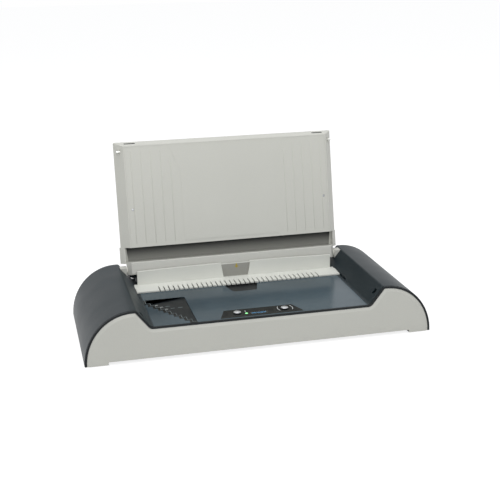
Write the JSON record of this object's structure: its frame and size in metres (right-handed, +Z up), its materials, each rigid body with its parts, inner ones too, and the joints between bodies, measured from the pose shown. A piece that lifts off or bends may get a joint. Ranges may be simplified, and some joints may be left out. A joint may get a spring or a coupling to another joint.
{
  "type": "thermal binding machine",
  "caption": "Desktop thermal binding machine: wide low casing with domed shoulders, hinged lid standing open, sliding document guide, heated well and small control area.",
  "frame": {"origin": "on the table, under the middle of the machine's bounding box with the lid open", "axes": "+X along the casing to the user's right, +Y from the front to the back, +Z up"},
  "size_m": [0.53, 0.2564, 0.2742],
  "materials": {
    "board_green": "solder mask",
    "button_silver": "satin plated",
    "cable_grey": "matt",
    "capacitor_yellow": "satin",
    "coil_yellow": "tape",
    "control_black": "gloss",
    "dark_tray": "fine texture",
    "deck_gloss": "high gloss",
    "display_blue": "gloss",
    "element_foil": "foil",
    "fascia_grey": "satin",
    "fuse_glass": "clear, plated ends",
    "guide_grey": "satin",
    "heater_aluminium": "dull",
    "inlet_black": "satin",
    "inner_black": "matt",
    "insulator_board": "pressed fibre",
    "lamp_green": "clear green",
    "lead_insulation": "satin",
    "lid_grey": "fine texture",
    "nylon_white": "satin",
    "pin_brass": "plated",
    "plated_screw": "plated",
    "rail_grey": "satin",
    "relay_blue": "satin",
    "rocker_black": "gloss",
    "rod_steel": "ground",
    "sensor_steel": "bright",
    "shoulder_grey": "satin, fine texture",
    "socket_white": "matt",
    "soft_rubber": "matt",
    "spring_steel": "drawn wire",
    "stud_steel": "turned",
    "switch_black": "matt",
    "trim_black": "satin",
    "trough_steel": "zinc plated",
    "window_clear": "clear"
  },
  "bodies": {
    "base": {"bottom_tray": "dark_tray", "rubber_feet": "soft_rubber", "casing_screws": "plated_screw", "left_side_casing": "shoulder_grey", "right_side_casing": "shoulder_grey", "rear_cover": "shoulder_grey", "front_fascia": "fascia_grey", "front_trim_frame": "trim_black", "chassis_frame": "inner_black", "deck_panel": "deck_gloss", "spine_gauge": "inner_black", "control_plate": "control_black", "display_window": "window_clear", "display_module": "display_blue", "status_lamp": "lamp_green", "start_button_spring": "spring_steel", "select_button_spring": "spring_steel", "tact_switches": "switch_black", "control_board": "board_green", "buzzer": "switch_black", "cable_sockets": "socket_white", "flat_cable": "cable_grey", "guide_rods": "rod_steel", "left_rod_bracket": "inner_black", "right_rod_bracket": "inner_black", "left_guide_spring": "spring_steel", "right_guide_spring": "spring_steel", "well_liner": "inner_black", "heater_plate": "heater_aluminium", "heating_element": "element_foil", "heater_insulator": "insulator_board", "heater_trough": "trough_steel", "thermostat": "sensor_steel", "thermal_fuse": "sensor_steel", "left_hinge_bracket": "rail_grey", "right_hinge_bracket": "rail_grey", "hinge_blocks": "inner_black", "hinge_pins": "rod_steel", "hinge_washers": "nylon_white", "lid_stop_pads": "soft_rubber", "mains_inlet": "inlet_black", "inlet_pins": "pin_brass", "switch_frame": "inlet_black", "power_board": "board_green", "board_transformer": "coil_yellow", "power_relay": "relay_blue", "line_capacitor": "capacitor_yellow", "internal_leads": "lead_insulation", "board_fuse": "fuse_glass"},
    "lid": {"lid_outer_shell": "lid_grey", "lid_inner_panel": "lid_grey", "lid_hinge_rail": "rail_grey", "lid_edge_buffers": "soft_rubber", "latch_studs": "stud_steel", "lid_screws": "plated_screw"},
    "guide": {"document_guide": "guide_grey", "slider_blocks": "inner_black"},
    "start_button_cap": {"start_button": "button_silver"},
    "select_button_cap": {"select_button": "button_silver"},
    "rocker": {"power_rocker": "rocker_black"}
  },
  "joints": [
    {"name": "lid_hinge", "type": "hinge", "parent": "base", "child": "lid", "pos_m": [0, 0.07931, 0.0732], "axis": [1, 0, 0], "range_deg": [0, 101.4]},
    {"name": "guide_slide", "type": "slide", "parent": "base", "child": "guide", "axis": [0, 1, 0], "range_m": [-0.028, 0], "stiffness_N_per_m": 150, "springref_m": 0.01, "deforming": ["left_guide_spring", "right_guide_spring"]},
    {"name": "start_button_press", "type": "slide", "parent": "base", "child": "start_button_cap", "axis": [0, 0, -1], "range_m": [0, 0.0012], "stiffness_N_per_m": 300, "springref_m": -0.0005, "deforming": ["start_button_spring"]},
    {"name": "select_button_press", "type": "slide", "parent": "base", "child": "select_button_cap", "axis": [0, 0, -1], "range_m": [0, 0.0012], "stiffness_N_per_m": 300, "springref_m": -0.0005, "deforming": ["select_button_spring"]},
    {"name": "rocker_tilt", "type": "hinge", "parent": "base", "child": "rocker", "pos_m": [0.187, 0.09541, 0.03], "axis": [1, 0, 0], "range_deg": [0, 20]}
  ]
}
